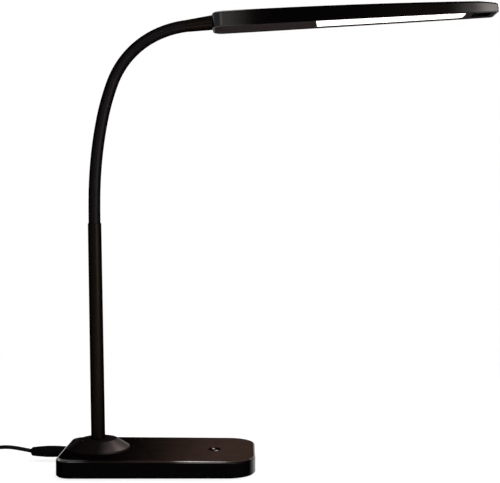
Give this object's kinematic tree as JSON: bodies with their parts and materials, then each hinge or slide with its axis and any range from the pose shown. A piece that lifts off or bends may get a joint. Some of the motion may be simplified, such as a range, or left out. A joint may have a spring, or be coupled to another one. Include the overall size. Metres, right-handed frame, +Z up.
{
  "type": "gooseneck desk lamp",
  "caption": "Gooseneck desk lamp: flat weighted foot with a dished touch switch, upright sleeve, bendable neck, long flat LED head with an opal window, and a plug-in low-voltage cord.",
  "frame": {"origin": "middle of the foot, on the desk it stands on", "axes": "+X along the foot towards the tip of the head, +Y towards the side the power plug is on, +Z up"},
  "size_m": [0.5845, 0.1, 0.4252],
  "materials": {
    "black_rubber": "soft moulding",
    "black_shell": "satin black moulding",
    "black_silicone": "smooth matt silicone",
    "black_sleeve": "satin black paint over a steel tube",
    "board_green": "solder mask",
    "board_white": "white solder mask over aluminium",
    "chip_black": "moulded",
    "conduit_steel": "wound conduit",
    "copper": "foil and spring",
    "cord_jacket": "smooth PVC jacket",
    "diffuser_white": "opal",
    "lead_jacket": "thin two-core lead",
    "led_yellow": "phosphor",
    "nickel": "nickel plated",
    "pad_foam": "soft non-slip pad",
    "steel": "plain",
    "weight_iron": "dull",
    "white_frame": "matt white"
  },
  "bodies": {
    "base": {"foot_cover": "black_shell", "foot_plate": "black_shell", "foot_screws": "steel", "foot_pad": "pad_foam", "foot_weight": "weight_iron", "control_board": "board_green", "board_chips": "chip_black", "board_screws": "steel", "touch_electrode": "copper", "touch_spring": "copper", "power_jack": "chip_black", "jack_pin": "nickel", "stem_ferrule": "black_shell", "stem_sleeve": "black_sleeve", "stem_nipple": "steel", "stem_washer": "steel", "stem_nut": "steel", "neck_core_1": "conduit_steel", "neck_skin_1": "black_silicone", "stem_lead": "lead_jacket", "foot_lead": "lead_jacket", "plug_body": "black_rubber", "plug_barrel": "nickel", "power_cord": "cord_jacket", "power_cord_coil": "cord_jacket", "power_cord_tail": "cord_jacket", "adapter_gland": "black_rubber", "adapter_body": "black_shell", "adapter_prongs": "nickel"},
    "neck_1": {"neck_core_2": "conduit_steel", "neck_lead_1": "lead_jacket", "neck_skin_2": "black_silicone"},
    "neck_2": {"neck_core_3": "conduit_steel", "neck_lead_2": "lead_jacket", "neck_skin_3": "black_silicone"},
    "neck_3": {"neck_core_4": "conduit_steel", "neck_lead_3": "lead_jacket", "neck_skin_4": "black_silicone"},
    "neck_4": {"neck_core_5": "conduit_steel", "neck_lead_4": "lead_jacket", "neck_skin_5": "black_silicone"},
    "neck_5": {"neck_core_6": "conduit_steel", "neck_lead_5": "lead_jacket", "neck_skin_6": "black_silicone"},
    "neck_6": {"neck_core_7": "conduit_steel", "neck_lead_6": "lead_jacket", "neck_skin_7": "black_silicone"},
    "neck_7": {"neck_core_8": "conduit_steel", "neck_lead_7": "lead_jacket"},
    "head": {"neck_collar": "black_shell", "collar_nut": "steel", "head_housing": "black_shell", "head_bezel": "black_shell", "head_diffuser": "diffuser_white", "head_reflector": "white_frame", "led_board": "board_white", "led_chips": "led_yellow", "led_board_screws": "steel", "head_lead": "lead_jacket"}
  },
  "joints": [
    {"name": "neck_side_bend", "type": "hinge", "parent": "base", "child": "neck_1", "pos_m": [-0.05984, 0, 0.235], "axis": [1, 0, 0.0047], "range_deg": [-25, 25], "deforming": ["neck_skin_1"]},
    {"name": "neck_lower_bend_1", "type": "hinge", "parent": "neck_1", "child": "neck_2", "pos_m": [-0.05926, 0, 0.26499], "axis": [0, 1, 0], "range_deg": [-6.5, 8], "deforming": ["neck_skin_2"]},
    {"name": "neck_lower_bend_2", "type": "hinge", "parent": "neck_2", "child": "neck_3", "pos_m": [-0.05552, 0, 0.30229], "axis": [0, 1, 0], "range_deg": [-6.5, 8], "deforming": ["neck_skin_3"]},
    {"name": "neck_lower_bend_3", "type": "hinge", "parent": "neck_3", "child": "neck_4", "pos_m": [-0.04842, 0, 0.33653], "axis": [0, 1, 0], "range_deg": [-6.5, 8], "deforming": ["neck_skin_4"]},
    {"name": "neck_upper_bend_1", "type": "hinge", "parent": "neck_4", "child": "neck_5", "pos_m": [-0.03691, 0, 0.36576], "axis": [0, 1, 0], "range_deg": [-20, 12], "deforming": ["neck_skin_5"]},
    {"name": "neck_upper_bend_2", "type": "hinge", "parent": "neck_5", "child": "neck_6", "pos_m": [-0.01752, 0, 0.38777], "axis": [0, 1, 0], "range_deg": [-20, 12], "deforming": ["neck_skin_6"]},
    {"name": "neck_upper_bend_3", "type": "hinge", "parent": "neck_6", "child": "neck_7", "pos_m": [0.00899, 0, 0.40147], "axis": [0, 1, 0], "range_deg": [-20, 12], "deforming": ["neck_skin_7"]},
    {"name": "head_twist", "type": "hinge", "parent": "neck_7", "child": "head", "pos_m": [0.0241, 0, 0.40481], "axis": [0.9914, 0, 0.1309], "range_deg": [-30, 30]}
  ],
  "couplings": [
    {"joint": "neck_lower_bend_2", "follows": "neck_lower_bend_1", "ratio": 1},
    {"joint": "neck_lower_bend_3", "follows": "neck_lower_bend_1", "ratio": 1},
    {"joint": "neck_upper_bend_2", "follows": "neck_upper_bend_1", "ratio": 1},
    {"joint": "neck_upper_bend_3", "follows": "neck_upper_bend_1", "ratio": 1}
  ]
}
